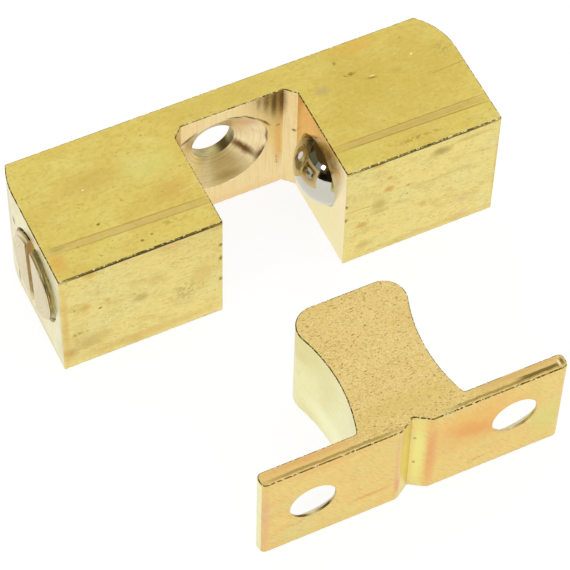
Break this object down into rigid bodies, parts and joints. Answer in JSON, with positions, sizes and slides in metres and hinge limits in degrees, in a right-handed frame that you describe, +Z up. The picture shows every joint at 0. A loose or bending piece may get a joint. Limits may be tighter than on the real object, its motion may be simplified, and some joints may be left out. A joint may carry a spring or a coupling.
{
  "type": "oven door latch",
  "caption": "Ball catch for an oven door: a slotted brass bar with sprung balls set by screw plugs, and a T-shaped strike whose waisted head snaps between the balls.",
  "frame": {"origin": "centre of the fixing screw's hole, on the bar's mounting face", "axes": "+X along the bar, +Y towards the mounting face, +Z up as the latch lies in the picture"},
  "size_m": [0.0616, 0.0531, 0.0191],
  "materials": {
    "body_brass": "drawn bar, mottled with tarnish, freshly cut in the slot",
    "ball_steel": "polished steel",
    "spring_steel": "drawn wire",
    "plug_brass": "turned",
    "strike_brass": "drawn profile with sawn ends and a brushed outer face"
  },
  "bodies": {
    "catch": {"catch_body": "body_brass"},
    "left_ball": {"ball_left": "ball_steel"},
    "right_ball": {"ball_right": "ball_steel"},
    "left_spring": {"spring_left": "spring_steel"},
    "right_spring": {"spring_right": "spring_steel"},
    "left_adjuster": {"adjuster_left": "plug_brass"},
    "right_adjuster": {"adjuster_right": "plug_brass"},
    "strike": {"strike": "strike_brass"}
  },
  "joints": [
    {"name": "left_ball_press", "type": "slide", "parent": "catch", "child": "left_ball", "axis": [-1, 0, 0], "range_m": [0, 0.0022], "stiffness_N_per_m": 2200, "springref_m": -0.0015, "deforming": ["spring_left"]},
    {"name": "right_ball_press", "type": "slide", "parent": "catch", "child": "right_ball", "axis": [1, 0, 0], "range_m": [0, 0.00295], "stiffness_N_per_m": 2200, "springref_m": -0.0015, "deforming": ["spring_right"]},
    {"name": "left_plug_advance", "type": "slide", "parent": "catch", "child": "left_spring", "axis": [1, 0, 0], "range_m": [-0.001, 0.001]},
    {"name": "left_plug_turn", "type": "hinge", "parent": "left_spring", "child": "left_adjuster", "pos_m": [-0.0284, -0.01115, 0], "axis": [1, 0, 0], "range_deg": [-360, 360]},
    {"name": "right_plug_advance", "type": "slide", "parent": "catch", "child": "right_spring", "axis": [-1, 0, 0], "range_m": [-0.001, 0.001]},
    {"name": "right_plug_turn", "type": "hinge", "parent": "right_spring", "child": "right_adjuster", "pos_m": [0.0316, -0.01115, 0], "axis": [-1, 0, 0], "range_deg": [-360, 360]},
    {"name": "strike_travel", "type": "slide", "parent": "catch", "child": "strike", "axis": [-0.0399, 0.9992, 0], "range_m": [0, 0.018]}
  ],
  "couplings": [
    {"joint": "left_plug_advance", "follows": "left_plug_turn", "m_per_rad": 0.00015915},
    {"joint": "right_plug_advance", "follows": "right_plug_turn", "m_per_rad": 0.00015915}
  ]
}
